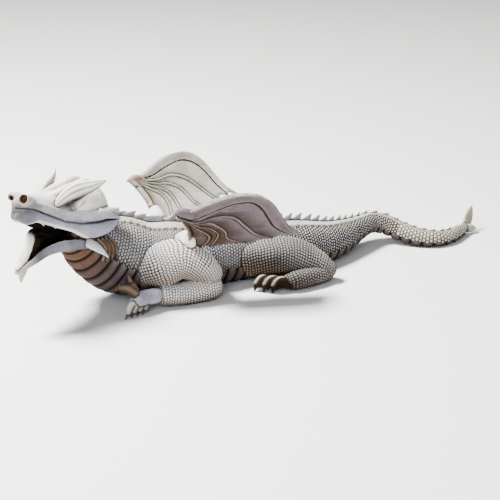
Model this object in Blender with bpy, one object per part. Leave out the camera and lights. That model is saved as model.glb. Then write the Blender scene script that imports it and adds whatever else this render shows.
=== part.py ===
"""A cast garden dragon that lies along the ground with its wings half raised and its mouth open.

+X runs from the nose to the tail, +Z is up, and the origin is on the ground under the belly.
The figure's pose and carving are in units of an 840th of its length, about a millimetre each.
Every form is a closed skin of clay laid over the one before, and the last step fuses them all
into one casting, trims it flat where it lies on the ground and drills the nostrils.
"""

import math

import bmesh
import bpy
import numpy as np

# Driving dimensions, in metres
LENGTH = 0.84
MEMBRANE = 0.0055
NOSTRIL_WIDTH = 0.010
NOSTRIL_DEPTH = 0.008
FUSE_GRID = 0.0019

UNIT = LENGTH / 840
FUSE_SMOOTHING = 1
TRIANGLES = 9150

# Neck, trunk and tail: x, y, z of the middle, half width, height above it and depth below it
TRUNK = (
    (-306, -30, 146, 22, 20, 22),
    (-278, -19, 128, 33, 30, 34),
    (-248, -9, 103, 41, 40, 50),
    (-212, -2, 82, 48, 51, 62),
    (-172, 0, 64, 53, 52, 60),
    (-130, 0, 57, 54, 53, 57),
    (-80, 0, 50, 51, 49, 49.5),
    (-20, 0, 45, 47, 46, 44.5),
    (40, 0, 41, 49, 42, 40.5),
    (100, 0, 38, 47, 37, 37.5),
    (150, 3, 33, 37, 31, 33),
    (190, 11, 32, 28, 27, 28),
    (226, 23, 35, 22, 20.5, 20.5),
    (258, 32, 37, 18, 17, 17),
    (286, 26, 32, 16.5, 16, 16),
    (308, 4, 22, 15.5, 15, 16),
    (330, -18, 15.5, 14, 14, 16),
    (355, -31, 12.8, 13, 12.5, 13.4),
    (384, -28, 12, 11.5, 11.5, 12.6),
    (410, -16, 11.5, 9.5, 9.5, 12),
    (433, -5, 13, 7, 7, 8),
)
BELLY_PLATE_PITCH = 17
BELLY_PLATE_DEPTH = 2.6
BELLY_HALF_ANGLE = math.radians(78)
BACK_BAND_RISE = 2.4
BACK_BAND_HALF_ANGLE = math.radians(24)
BACK_SCALLOP_PITCH = 13

# Crest along the spine: where it starts and stops short of the ends, and how far apart its fins are
CREST_START = 46
CREST_STOP = 44
CREST_PITCH = 17.5

# Head: its hinge point, and how far it looks to the left
HEAD_PLACE = (-283, -20, 128)
HEAD_TURN = math.radians(25)

# Wing ribs as x, z pairs, from the wrist: the leading edge first and the arm at the root last
WRIST = (-150, 155)
WING_RIBS = (
    ((-124, 161), (-99, 172), (-73, 179.5), (-46, 179.5), (-25, 172), (-7, 157), (9, 136), (26, 114), (52, 94)),
    ((-112, 154), (-82, 162), (-56, 167), (-38, 164), (-20, 154), (-5, 138), (10, 118), (28, 99)),
    ((-105, 147), (-80, 149), (-60, 145), (-42, 135), (-24, 120), (-7, 105), (9, 94)),
    ((-106, 142), (-84, 138), (-65, 129), (-53, 117), (-42, 103), (-22, 88)),
    ((-109, 138), (-90, 129), (-78, 115), (-71, 98), (-58, 82)),
    ((-115, 135), (-98, 124), (-90, 110), (-89, 96), (-92, 82)),
    ((-138, 141), (-128, 125), (-122, 108), (-117, 90)),
)
WING_RIB_RISE = (1.8, 0, 2.8, 2.8, 2.8, 2.8, 4.4)
WING_RIB_HALF_WIDTH = (9, 0.5, 3.2, 3.2, 3.2, 3.2, 8)
WING_SCALLOP = 0.05


def unit(v):
    """Vectors at length one."""
    return v / np.maximum(np.linalg.norm(v, axis=-1, keepdims=True), 1e-9)


def spline(p, t):
    """The smooth curve through four rows, between the middle two."""
    a = 2 * p[1] + (p[2] - p[0]) * t
    b = (2 * p[0] - 5 * p[1] + 4 * p[2] - p[3]) * t**2
    c = (3 * p[1] - p[0] - 3 * p[2] + p[3]) * t**3
    return (a + b + c) / 2


def smooth(rows, steps):
    """Rows on a smooth curve through the given ones, with that many steps from one to the next."""
    rows = np.asarray(rows, float)
    p = np.concatenate([2 * rows[:1] - rows[1:2], rows, 2 * rows[-1:] - rows[-2:-1]])
    fine = [spline(p[i : i + 4], t) for i in range(len(rows) - 1) for t in np.arange(steps) / steps]
    return np.stack([*fine, rows[-1]])


def path_of(rows, spacing):
    """Rows whose first three numbers are a place, on a smooth curve at an even spacing, and how far along each is."""
    fine = smooth(rows, 16)
    along = np.concatenate([[0], np.cumsum(np.linalg.norm(np.diff(fine[:, :3], axis=0), axis=1))])
    even = np.linspace(0, along[-1], max(4, round(along[-1] / spacing) + 1))
    return np.stack([np.interp(even, along, column) for column in fine.T], axis=1), even


def frames(places, reference):
    """Tangent, side and up at each place of a path; up leans to the reference direction."""
    tangent = unit(np.gradient(places, axis=0))
    side = unit(np.cross(tangent, np.broadcast_to(np.array(reference, float), tangent.shape)))
    return tangent, side, np.cross(side, tangent)


def skin(bm, rings):
    """A closed skin over rings of points, with a point at the middle of each end ring."""
    rows = [[bm.verts.new(p) for p in ring] for ring in rings]
    around = len(rows[0])
    for one, other in zip(rows, rows[1:]):
        for j in range(around):
            k = (j + 1) % around
            bm.faces.new((one[j], one[k], other[k], other[j]))
    for ring, row, order in ((rings[0], rows[0], -1), (rings[-1], rows[-1], 1)):
        pole = bm.verts.new(ring.mean(axis=0))
        for j in range(around):
            bm.faces.new((row[j], row[(j + 1) % around], pole)[::order])


def slab(bm, front, back):
    """A closed sheet between two grids of points that face each other."""
    grids = [[[bm.verts.new(p) for p in row] for row in grid] for grid in (front, back)]
    rows, columns = len(front), len(front[0])
    for grid, order in zip(grids, (1, -1)):
        for i in range(rows - 1):
            for j in range(columns - 1):
                face = (grid[i][j], grid[i][j + 1], grid[i + 1][j + 1], grid[i + 1][j])
                bm.faces.new(face[::order])
    edge = [(0, j) for j in range(columns)] + [(i, columns - 1) for i in range(1, rows)]
    edge += [(rows - 1, j) for j in range(columns - 2, -1, -1)] + [(i, 0) for i in range(rows - 2, 0, -1)]
    for (i, j), (k, m) in zip(edge, edge[1:] + edge[:1]):
        bm.faces.new((grids[0][k][m], grids[0][i][j], grids[1][i][j], grids[1][k][m]))


def round_cap(path, tangent, end):
    """Rows that round off one end of a path: end is 0 or -1."""
    lift = np.sin(np.radians((22, 44, 66, 84)))
    shrink = np.sqrt(1 - lift**2)
    row, reach = path[end], min(path[end, 3:5])
    caps = [
        (*(row[:3] + (1 if end else -1) * reach * up * tangent[end]), row[3] * thin, row[4] * thin)
        for up, thin in zip(lift, shrink)
    ]
    return np.array(caps if end else caps[::-1])


def clay(bm, rows, reference=(0, 0, 1), sides=18, spacing=3.0, round_ends=(True, True)):
    """One stroke of clay along rows of x, y, z, half width and half height, with round or sharp ends."""
    path, _ = path_of(rows, spacing)
    tangent, side, up = frames(path[:, :3], reference)
    for end, wanted in zip((0, -1), round_ends):
        if wanted:
            cap = round_cap(path, tangent, end)
            extra = [np.repeat(v[end][None], len(cap), axis=0) for v in (tangent, side, up)]
            pieces = [(cap, path), *zip(extra, (tangent, side, up))]
            path, tangent, side, up = (np.concatenate(pair[:: 1 if end == 0 else -1]) for pair in pieces)
    angle = np.linspace(0, 2 * math.pi, sides, endpoint=False)
    across = side[:, None] * (path[:, 3:4] * np.cos(angle))[..., None]
    rise = up[:, None] * (path[:, 4:5] * np.sin(angle))[..., None]
    skin(bm, path[:, None, :3] + across + rise)


def both_sides(bm, rows, **how):
    """A stroke on the left of the body and its mirror image; y is given as the distance out."""
    for hand in (-1, 1):
        clay(bm, [(x, hand * out, z, wide, high) for x, out, z, wide, high in rows], **how)


def bumps(along, pitch):
    """From 0 at the joints of a row of plates to 1 over each plate's middle."""
    return np.sqrt(np.abs(np.sin(math.pi * along / pitch)))


def trunk(bm):
    """Neck, body and tail in one skin, with plates across the belly and a scalloped band down the back."""
    path, along = path_of(TRUNK, 2.4)
    _, side, up = frames(path[:, :3], (0, 0, 1))
    angle = np.linspace(0, 2 * math.pi, 88, endpoint=False)
    across, rise = np.cos(angle), np.sin(angle)
    girth = path[:, 3:4]
    height = np.where(rise > 0, path[:, 4:5], path[:, 5:6])
    from_belly = np.arccos(np.clip(-rise, -1, 1))
    from_back = math.pi - from_belly
    taper = np.clip(girth / 40, 0.35, 1)
    plates = BELLY_PLATE_DEPTH * taper * (0.6 + bumps(along, BELLY_PLATE_PITCH)[:, None])
    relief = np.where(from_belly < BELLY_HALF_ANGLE, plates, 0)
    scallop = BACK_BAND_HALF_ANGLE * (0.78 + 0.22 * bumps(along, BACK_SCALLOP_PITCH)[:, None])
    relief = np.where(from_back < scallop, BACK_BAND_RISE * taper, relief)
    rings = side[:, None] * ((girth + relief) * across)[..., None]
    rings = rings + up[:, None] * ((height + relief) * rise)[..., None]
    skin(bm, path[:, None, :3] + rings)


def crest(bm):
    """The row of back-swept fins along the spine."""
    path, along = path_of(TRUNK, 1.0)
    tangent, _, up = frames(path[:, :3], (0, 0, 1))
    for place in np.arange(CREST_START, along[-1] - CREST_STOP, CREST_PITCH):
        i = int(np.searchsorted(along, place))
        share = np.clip(path[i, 3] / 48, 0.3, 1)
        tall, half_long, half_thick = 3 + 13 * share, 5 + 7 * share, 1.8 + 1.4 * share
        foot = path[i, :3] + up[i] * (path[i, 4] - 2)
        rows = []
        for step in (0.0, 0.35, 0.7, 1.0):
            middle = foot + up[i] * tall * step + tangent[i] * half_long * 0.9 * step**1.3
            rows.append((*middle, half_thick * (1 - 0.75 * step), half_long * (1 - 0.9 * step)))
        clay(bm, rows, tangent[i], sides=10, spacing=2.0, round_ends=(False, False))


def head_place(forward, left, up):
    """A point of the head, measured from the hinge of its jaw."""
    ahead = np.array((-math.cos(HEAD_TURN), -math.sin(HEAD_TURN), 0))
    beside = np.array((math.sin(HEAD_TURN), -math.cos(HEAD_TURN), 0))
    return np.array(HEAD_PLACE) + ahead * forward + beside * left + np.array((0, 0, up))


def head_clay(bm, rows, both=False, reference=(0, 0, 1), **how):
    """A stroke given as forward, left, up, half width and half height; both repeats it on the right."""
    for hand in (1, -1) if both else (1,):
        placed = [(*head_place(f, hand * l, u), wide, high) for f, l, u, wide, high in rows]
        f, l, u = reference
        clay(bm, placed, head_place(f, hand * l, u) - head_place(0, 0, 0), **how)


def skull(bm):
    """Skull, snout, brows, eyes, and the bands that run back from the nose to the ear."""
    head_clay(bm, ((-44, 0, 16, 30, 22), (-22, 0, 33, 37, 37), (4, 0, 42, 35, 32), (32, 0, 47, 27, 25),
                   (60, 0, 56, 19, 19), (84, 0, 62, 14, 16), (97, 0, 66, 12, 14)), sides=28)
    head_clay(bm, ((86, 7, 71, 8, 8), (98, 9.5, 76, 9, 8.5)), both=True)
    head_clay(bm, ((94, 8, 69, 6, 6), (66, 14, 57, 6, 8), (39, 22, 42, 7, 9), (14, 29, 34, 8, 9),
                   (-14, 35, 29, 8, 9), (-38, 37, 27, 7, 8), (-56, 36, 25, 4, 5)), both=True)
    head_clay(bm, ((105, 4, 55, 5, 9), (94, 9, 49, 5, 10), (76, 12, 47, 5, 9), (43, 21, 31.5, 5, 9.5),
                   (22, 28, 22, 6, 10.5), (4, 33, 12, 7, 13), (-14, 36, 8, 7, 13), (-37, 38, 8, 6, 10),
                   (-54, 38, 14, 4, 5)), both=True)
    head_clay(bm, ((53, 17, 53, 3, 3), (44, 20, 60, 5, 6), (28, 25, 69, 6, 10), (12, 30, 73, 6, 11),
                   (0, 37, 75.5, 5, 9.5), (-10, 45, 79, 3.5, 6), (-20, 53, 83, 1.2, 1.4)), both=True,
              reference=(0, -0.35, 1), round_ends=(True, False))
    head_clay(bm, ((62, 7, 65, 4, 5), (38, 9, 68, 5, 6), (10, 10, 72, 6, 6), (-18, 11, 73, 6, 6),
                   (-34, 10, 63, 4, 4)), both=True)
    head_clay(bm, ((38, 21.5, 51, 5, 5), (26, 25, 51, 6, 5.5)), both=True)
    head_clay(bm, ((-18, 38, 34, 5, 8), (-36, 43, 30, 4, 6), (-53, 47, 24, 1, 1)), both=True,
              round_ends=(True, False))


def jaw(bm):
    """The lower jaw as a scoop with a rim, the tongue, the gullet, the teeth, and the spike behind each cheek."""
    head_clay(bm, ((-34, 0, -6, 33, 22), (-8, 0, -13, 32, 14), (20, 0, -14, 27, 8), (46, 0, -12, 20, 6.5),
                   (70, 0, -13, 14.5, 5.5), (90, 0, -20, 10, 5), (106, 0, -31, 5, 4)), sides=24)
    head_clay(bm, ((-4, 34, -12, 5, 9), (10, 31, -10, 4, 7.5), (28, 28, -6.5, 3.6, 8), (48, 23, -4.5, 3.4, 8),
                   (68, 18, -7, 3.2, 7), (84, 12.5, -15, 3.2, 5.5), (96, 8, -21, 3.2, 4.5),
                   (105, 4.5, -26, 3.4, 4.5), (111, 0, -29, 3.4, 4)), both=True)
    head_clay(bm, ((98, 0, -30, 5, 5), (103, 0, -38, 3.5, 4), (104, 0, -46, 1.4, 1.6)), reference=(1, 0, 0))
    head_clay(bm, ((-10, 0, -4, 14, 8), (26, 0, 2, 11, 6), (52, 0, 11, 10, 4.5), (68, 0, 20, 9.5, 3.6),
                   (78, 0, 21, 9, 3.2), (86, 0, 10, 8.5, 3), (93, 0, -3, 8, 3), (101, 0, -15, 7, 3),
                   (110, 0, -24, 4.5, 2.6)), sides=16)
    head_clay(bm, ((-10, 0, -2, 22, 14), (30, 0, 4, 15, 12), (55, 0, 6, 10, 12), (72, 0, 4, 7, 14), (88, 0, -14, 4, 8)),
              sides=16)
    head_clay(bm, ((-10, 0, 14, 22, 14), (30, 0, 24, 15, 14), (55, 0, 31, 11, 13), (76, 0, 38, 8, 10), (90, 0, 45, 5, 7)),
              sides=16)
    thick = 2.4
    for forward, left, up, long in ((86, 10, 44, 6), (70, 14, 36, 5), (52, 18.5, 27, 4)):
        head_clay(bm, ((forward, left, up, thick, thick), (forward - 1, left, up - long / 2, thick * 0.7, thick * 0.7),
                       (forward - 2, left, up - long, 0.7, 0.7)), both=True, reference=(1, 0, 0),
                  sides=8, spacing=1.5, round_ends=(True, False))
    head_clay(bm, ((4, 35, -8, 6, 9), (-6, 41, -16, 5, 9), (-14, 46, -25, 3, 5.5), (-20, 50, -35, 0.8, 1)),
              both=True, reference=(1, 0, 0), round_ends=(True, False))


def wing_out(x, z):
    """How far out from the spine a wing stands: it leans out as it rises and as it runs back."""
    dome = 6 * np.sin(math.pi * np.clip((z - 80) / 105, 0, 1))
    return 60 + 0.53 * (z - 100) + 0.25 * (x + 126) + dome


def wing(bm, hand):
    """One wing: a leaf of membrane between ribs that fan from the wrist, thickest at its front arm."""
    columns, steps = 64, 10
    ribs = []
    for points in WING_RIBS:
        flat, _ = path_of([(x, 0, z) for x, z in (WRIST, *points)], 1.0)
        at = np.linspace(0, len(flat) - 1, columns)
        ribs.append(np.stack([np.interp(at, np.arange(len(flat)), column) for column in flat.T], axis=1))
    rows = smooth(ribs, steps)
    gap = np.linalg.norm(np.diff(ribs, axis=0), axis=2)
    share = np.arange(columns) / (columns - 1)
    sheet, half = [], []
    for i, row in enumerate(rows):
        rib, step = divmod(i, steps)
        s = step / steps
        reach = share * (1 - WING_SCALLOP * math.sin(math.pi * s))
        row = np.stack([np.interp(reach, share, column) for column in row.T], axis=1)
        row[:, 1] = hand * wing_out(row[:, 0], row[:, 2])
        sheet.append(row)
        thick = np.full(columns, MEMBRANE / UNIT / 2)
        for near, away in ((rib, s), (min(rib + 1, len(ribs) - 1), 1 - s)):
            width = WING_RIB_HALF_WIDTH[near] * (1 - 0.35 * share)
            off = np.clip(away * gap[min(rib, len(gap) - 1)] / width, 0, 1) if s else 0.0 * share
            swell = WING_RIB_RISE[near if s else rib] * (1 - 0.35 * share) * np.sqrt(1 - off**2)
            thick = np.maximum(thick, MEMBRANE / UNIT / 2 + swell)
        half.append(thick)
    sheet, half = np.array(sheet), np.array(half)
    along = np.gradient(sheet, axis=1)
    normal = unit(np.cross(along, np.gradient(sheet, axis=0)))
    normal[:, 0] = normal[:, 1]
    half[:, -1] *= 0.6
    slab(bm, sheet + normal * half[..., None], sheet - normal * half[..., None])


def wings(bm):
    """Both wings, the horn at each wrist and the stub that each grows from."""
    for hand in (-1, 1):
        wing(bm, hand)
    both_sides(bm, ((-120, 28, 76, 17, 20), (-119, 46, 90, 13, 18), (-118, 60, 100, 12, 16), (-118, 66, 106, 9, 12)),
               sides=20)
    x, z = WRIST
    both_sides(bm, ((x + 22, wing_out(x + 22, z), z - 3, 6, 7), (x + 10, wing_out(x + 10, z), z + 1, 6, 7),
                    (x + 2, wing_out(x, z) + 1, z + 1, 4.5, 5), (x - 5, wing_out(x, z) + 2, z - 1, 1.4, 1.6)),
               round_ends=(True, False))


def digit(bm, rows, claw):
    """A finger or toe on both sides, as rows of x, out, z and radius, and the tip of its claw."""
    both_sides(bm, [(x, out, z, r, r) for x, out, z, r in rows], sides=12, spacing=2.0)
    x, out, z, r = rows[-1]
    middle = (np.array((x, out, z)) + claw) / 2 + (0, 0, 0.3 * r)
    both_sides(bm, ((x, out, z, r * 0.75, r * 0.75), (*middle, r * 0.5, r * 0.5), (*claw, 0.9, 0.9)),
               reference=(0.3, 0.2, 1), sides=10, spacing=1.5, round_ends=(True, False))


def legs(bm):
    """Four crouched legs, with elbows and knees to the rear and hands and feet to the front."""
    both_sides(bm, ((-182, 38, 54, 20, 28), (-160, 47, 62, 27, 34), (-130, 54, 69, 28, 31), (-104, 60, 58, 24, 26),
                    (-86, 62, 38, 19, 22)), sides=24)
    both_sides(bm, ((-85, 66, 21, 18, 21), (-108, 65, 19, 18, 20), (-136, 63, 18, 17, 18), (-160, 63, 20, 14, 16)),
               sides=24)
    both_sides(bm, ((-158, 61, 21, 12, 12), (-182, 66, 23, 11, 12), (-204, 69, 24, 13, 12)), sides=20)
    digit(bm, ((-206, 62, 34, 7), (-211, 60, 44, 6.5)), (-215, 59, 60))
    digit(bm, ((-210, 70, 34, 7), (-221, 67, 43, 6.5), (-229, 64, 44, 5)), (-238, 62, 41))
    for i in range(4):
        back, out = 9.6 * i, -1.5 * i
        digit(bm, ((-207 + back, 72 + out, 21, 4.8), (-218 + back, 76 + out, 20, 4.8),
                   (-224 + back, 78 + out, 9, 4.5)), (-230 + back, 79 + out, 0))
    both_sides(bm, ((-4, 44, 42, 20, 26), (26, 54, 44, 27, 31), (60, 63, 42, 27, 31), (90, 74, 32, 21, 23),
                    (110, 84, 19, 14, 16)), sides=24)
    both_sides(bm, ((108, 84, 16, 13, 15), (80, 90, 17, 14, 16), (50, 92, 16, 13, 15), (38, 90, 15, 12, 12)), sides=24)
    for i in range(3):
        out, back = 70 + 10 * i, 10 * i
        digit(bm, ((18 + back, out + 4, 13, 8.5), (3 + back, out, 18, 8), (-6 + back, out, 12, 6.8)),
              (-12 + back, out, 0))


def tail_fin(bm):
    """The two-lobed fin at the tip of the tail."""
    clay(bm, ((428, -8, 14, 3, 7), (441, -1, 22, 3, 11), (450, 6, 31, 2.6, 9.5), (458, 12, 43, 1.2, 2)),
         reference=(0.7, 0, -0.7), sides=14, round_ends=(True, False))
    clay(bm, ((428, -8, 12, 3, 7), (440, -10, 10, 2.8, 8), (449, -10, 8, 2.4, 5), (456, -8, 7, 1, 1.4)),
         sides=14, round_ends=(True, False))


def helper(name, bm):
    """A tool body, kept out of the casting."""
    bmesh.ops.recalc_face_normals(bm, faces=bm.faces)
    mesh = bpy.data.meshes.new(name)
    bm.to_mesh(mesh)
    bm.free()
    body = bpy.data.objects.new(name, mesh)
    body.hide_render = True
    body.display_type = "WIRE"
    bpy.context.scene.collection.objects.link(body)
    return body


def ground():
    """A block whose top face is the ground."""
    bm = bmesh.new()
    half, deep = LENGTH, 0.06
    corners = [(x, y, z) for z in (-deep, 0) for x, y in ((-half, -half), (half, -half), (half, half), (-half, half))]
    v = [bm.verts.new(c) for c in corners]
    for face in ((3, 2, 1, 0), (4, 5, 6, 7), (0, 1, 5, 4), (1, 2, 6, 5), (2, 3, 7, 6), (3, 0, 4, 7)):
        bm.faces.new([v[i] for i in face])
    return helper("ground", bm)


def nostrils():
    """Two rods as deep in the snout as the nostrils are."""
    bm = bmesh.new()
    radius, deep = NOSTRIL_WIDTH / 2 / UNIT, NOSTRIL_DEPTH / UNIT
    for hand in (1, -1):
        head_clay(bm, ((105 - deep, hand * 10, 74, radius * 0.7, radius * 0.8), (105, hand * 11, 76, radius, radius),
                       (120, hand * 14, 80, radius, radius)), sides=14)
    bmesh.ops.scale(bm, vec=(UNIT,) * 3, verts=bm.verts)
    return helper("nostrils", bm)


def stone():
    """Aged pale grey casting stone."""
    material = bpy.data.materials.new("stone")
    material.use_nodes = True
    surface = material.node_tree.nodes["Principled BSDF"]
    surface.inputs["Base Color"].default_value = (0.40, 0.38, 0.34, 1)
    surface.inputs["Roughness"].default_value = 0.8
    material.diffuse_color = (0.40, 0.38, 0.34, 1)
    return material


def main():
    for old in list(bpy.data.objects):
        bpy.data.objects.remove(old, do_unlink=True)
    bm = bmesh.new()
    for form in (trunk, crest, skull, jaw, wings, legs, tail_fin):
        form(bm)
    bmesh.ops.scale(bm, vec=(UNIT,) * 3, verts=bm.verts)
    bmesh.ops.recalc_face_normals(bm, faces=bm.faces)
    mesh = bpy.data.meshes.new("dragon")
    bm.to_mesh(mesh)
    bm.free()
    mesh.materials.append(stone())
    dragon = bpy.data.objects.new("dragon", mesh)
    bpy.context.scene.collection.objects.link(dragon)

    fuse = dragon.modifiers.new("fuse", "REMESH")
    fuse.mode = "VOXEL"
    fuse.voxel_size = FUSE_GRID
    soften = dragon.modifiers.new("soften", "SMOOTH")
    soften.factor = 0.5
    soften.iterations = FUSE_SMOOTHING
    facets = dragon.modifiers.new("facets", "DECIMATE")
    facets.ratio = 1.0
    depsgraph = bpy.context.evaluated_depsgraph_get()
    fused = dragon.evaluated_get(depsgraph).to_mesh()
    facets.ratio = TRIANGLES / (2 * len(fused.polygons))
    for tool in (ground(), nostrils()):
        cut = dragon.modifiers.new(f"cut {tool.name}", "BOOLEAN")
        cut.operation = "DIFFERENCE"
        cut.solver = "EXACT"
        cut.object = tool


main()
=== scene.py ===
"""The looks of the cast garden dragon: scales, plates, ribs and folds as relief, in aged pale stone."""

import math
from types import SimpleNamespace

import bmesh
import bpy
import numpy as np
from mathutils import Matrix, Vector
from mathutils.bvhtree import BVHTree
from mathutils.kdtree import KDTree


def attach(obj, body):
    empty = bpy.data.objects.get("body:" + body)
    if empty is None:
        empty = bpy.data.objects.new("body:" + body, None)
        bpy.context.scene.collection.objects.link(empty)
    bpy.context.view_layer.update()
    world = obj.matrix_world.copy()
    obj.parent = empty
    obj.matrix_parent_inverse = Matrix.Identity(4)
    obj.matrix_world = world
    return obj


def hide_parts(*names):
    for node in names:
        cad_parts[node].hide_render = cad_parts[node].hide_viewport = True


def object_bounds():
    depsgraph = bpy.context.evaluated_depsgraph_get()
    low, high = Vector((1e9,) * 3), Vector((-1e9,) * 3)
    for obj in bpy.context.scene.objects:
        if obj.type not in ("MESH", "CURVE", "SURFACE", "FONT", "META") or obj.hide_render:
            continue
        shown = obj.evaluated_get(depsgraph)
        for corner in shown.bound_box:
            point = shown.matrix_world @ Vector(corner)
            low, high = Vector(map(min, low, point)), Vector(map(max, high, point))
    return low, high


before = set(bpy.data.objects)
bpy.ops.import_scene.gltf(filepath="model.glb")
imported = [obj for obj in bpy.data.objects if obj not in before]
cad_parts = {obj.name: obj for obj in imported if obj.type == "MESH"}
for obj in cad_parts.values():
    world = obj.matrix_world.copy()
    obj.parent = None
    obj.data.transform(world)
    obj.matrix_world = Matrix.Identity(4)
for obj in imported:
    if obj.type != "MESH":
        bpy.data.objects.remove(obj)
cad_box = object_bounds()

# The figure is laid out in millimetres and scaled to metres at the end
MM = 0.001
GRID = 1.0
TRIANGLES = 196000

# Neck, trunk and tail: x, y, z of the middle, half width, height above it and depth below it
TRUNK = (
    (-306, -30, 146, 22, 20, 22),
    (-278, -19, 128, 33, 30, 34),
    (-248, -9, 103, 41, 40, 50),
    (-212, -2, 82, 48, 51, 62),
    (-172, 0, 64, 53, 52, 60),
    (-130, 0, 57, 54, 53, 57),
    (-80, 0, 50, 51, 49, 49.5),
    (-20, 0, 45, 47, 46, 44.5),
    (40, 0, 41, 49, 42, 40.5),
    (100, 0, 38, 47, 37, 37.5),
    (150, 3, 33, 37, 31, 33),
    (190, 11, 32, 28, 27, 28),
    (226, 23, 35, 22, 20.5, 20.5),
    (258, 32, 37, 18, 17, 17),
    (286, 26, 32, 16.5, 16, 16),
    (308, 4, 22, 15.5, 15, 16),
    (330, -18, 15.5, 14, 14, 16),
    (355, -31, 12.8, 13, 12.5, 13.4),
    (384, -28, 12, 11.5, 11.5, 12.6),
    (410, -16, 11.5, 9.5, 9.5, 12),
    (433, -5, 13, 7, 7, 8),
)
BELLY_PLATE_PITCH = 17
BELLY_PLATE_DEPTH = 2.6
BELLY_HALF_ANGLE = math.radians(78)
BACK_BAND_RISE = 2.4
BACK_BAND_HALF_ANGLE = math.radians(24)
BACK_SCALLOP_PITCH = 13
CREST_START = 46
CREST_STOP = 44
CREST_PITCH = 17.5
TAIL_BLOCKS_FROM = 655

HEAD_PLACE = (-283, -20, 128)
HEAD_TURN = math.radians(25)

# Wing ribs as x, z pairs, from the wrist: the leading edge first and the arm at the root last
WRIST = (-150, 155)
WING_RIBS = (
    ((-124, 161), (-99, 172), (-73, 179.5), (-46, 179.5), (-25, 172), (-7, 157), (9, 136), (26, 114),
     (52, 94)),
    ((-112, 154), (-82, 162), (-56, 167), (-38, 164), (-20, 154), (-5, 138), (10, 118), (28, 99)),
    ((-105, 147), (-80, 149), (-60, 145), (-42, 135), (-24, 120), (-7, 105), (9, 94)),
    ((-106, 142), (-84, 138), (-65, 129), (-53, 117), (-42, 103), (-22, 88)),
    ((-109, 138), (-90, 129), (-78, 115), (-71, 98), (-58, 82)),
    ((-115, 135), (-98, 124), (-90, 110), (-89, 96), (-92, 82)),
    ((-138, 141), (-128, 125), (-122, 108), (-117, 90)),
)
NEAR_WING_RIBS = (
    WING_RIBS[0],
    ((-126, 142), (-107, 149), (-88, 158), (-71, 164.5), (-52, 167), (-38, 164), (-24, 152), (-11, 134),
     (5, 115), (36, 96)),
    ((-120, 138), (-97, 144), (-80, 146), (-62, 141), (-43, 124), (-22, 106), (8, 93)),
    ((-119, 135), (-98, 135), (-82, 126), (-70, 115), (-61, 100), (-28, 87)),
    ((-114, 131), (-98, 127), (-87, 120), (-79, 110), (-84, 84)),
    ((-112, 125), (-100, 117), (-92, 109), (-92, 98), (-102, 85)),
    WING_RIBS[6],
)
WING_RIB_RISE = (1.8, 0, 2.3, 2.3, 2.3, 2.3, 4.4)
WING_RIB_HALF_WIDTH = (9, 0.5, 2.2, 2.2, 2.2, 2.2, 8)
WING_SCALLOP = 0.05
MEMBRANE = 5.5

# Carved lines of the face, as forward and up in the head's own frame, the same on both cheeks
CHEEK_GROOVE = (
    (108, 66), (102, 65), (84, 59.6), (66, 48.6), (39, 32), (14, 24), (-14, 19), (-37, 17.6), (-55, 14),
)
CHEEK_GROOVE_DEPTH = 1.3
UPPER_LIP = ((109, 46), (97, 36.5), (76, 38.7), (43, 22), (22, 12), (9, -0.5))
LOWER_LIP = ((9, -0.6), (33, 3), (56, 4), (79, -1), (98, -15), (112, -25))

# Half the mouth's width at each place forward, outside the lips
LIP_HALF_WIDTH = ((9, 31), (22, 28), (43, 20), (76, 12), (97, 8), (109, 5))
LIP_THICKNESS = 2.0
PUPIL_FORWARD = 31
NOSTRIL_DEPTH = 6.0

# The toes stand side by side, the innermost this far out
TOE_OUT = 70
TOE_PITCH = 10

# Colours of the aged stone, as linear red, green and blue
PALE = (0.50, 0.48, 0.44)
WHITE = (0.84, 0.83, 0.82)
LAVENDER = (0.27, 0.27, 0.35)
CREAM = (0.76, 0.75, 0.68)
MAUVE = (0.115, 0.092, 0.103)
OLIVE = (0.34, 0.33, 0.25)
RUST = (0.12, 0.066, 0.035)
PLUM = (0.026, 0.018, 0.019)
PINK = (0.40, 0.27, 0.21)
BLACK = (0.002, 0.0018, 0.0018)
BROWN = (0.02, 0.012, 0.007)
AMBER = (0.095, 0.043, 0.019)
DARK_OLIVE = (0.022, 0.017, 0.009)
SLATE = (0.21, 0.21, 0.225)
TAN = (0.28, 0.18, 0.10)
HAZE = (0.28, 0.285, 0.32)
UMBER = (0.075, 0.043, 0.024)
TOOTH = (0.30, 0.26, 0.14)

# Kinds of stroke that meet the others in a crease
APART = ("trunk", "limb", "cuff", "crest", "tongue", "jaw", "leaf", "root", "claw", "frill", "gill")
CREASE_DEPTH = 0.8
BELLY_JOINT_DEPTH = 1.6
WING_LINE_DEPTH = 1.3
LEAF_STRIPE_PITCH = 6.5

# Scales: pebbles on the limbs, knitted rows on neck and flanks that get closer to the rear, tail blocks
SCALE_RISE = 1.5
SCALE_MEAN = 0.55
PEBBLE = 4.3
KNIT_ALONG = (0, 180, 900)
KNIT_ROWS = (0, 32, 190)
KNIT_WIDTH = 5.0
BLOCK_LENGTH = 5.2
BLOCK_WIDTH = 7.5

strokes = []


def unit(v):
    """Vectors at length one."""
    return v / np.maximum(np.linalg.norm(v, axis=-1, keepdims=True), 1e-9)


def spline(p, t):
    """The smooth curve through four rows, between the middle two."""
    a = 2 * p[1] + (p[2] - p[0]) * t
    b = (2 * p[0] - 5 * p[1] + 4 * p[2] - p[3]) * t**2
    c = (3 * p[1] - p[0] - 3 * p[2] + p[3]) * t**3
    return (a + b + c) / 2


def smooth(rows, steps):
    """Rows on a smooth curve through the given ones, with that many steps from one to the next."""
    rows = np.asarray(rows, float)
    p = np.concatenate([2 * rows[:1] - rows[1:2], rows, 2 * rows[-1:] - rows[-2:-1]])
    fine = [spline(p[i : i + 4], t) for i in range(len(rows) - 1) for t in np.arange(steps) / steps]
    return np.stack([*fine, rows[-1]])


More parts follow.
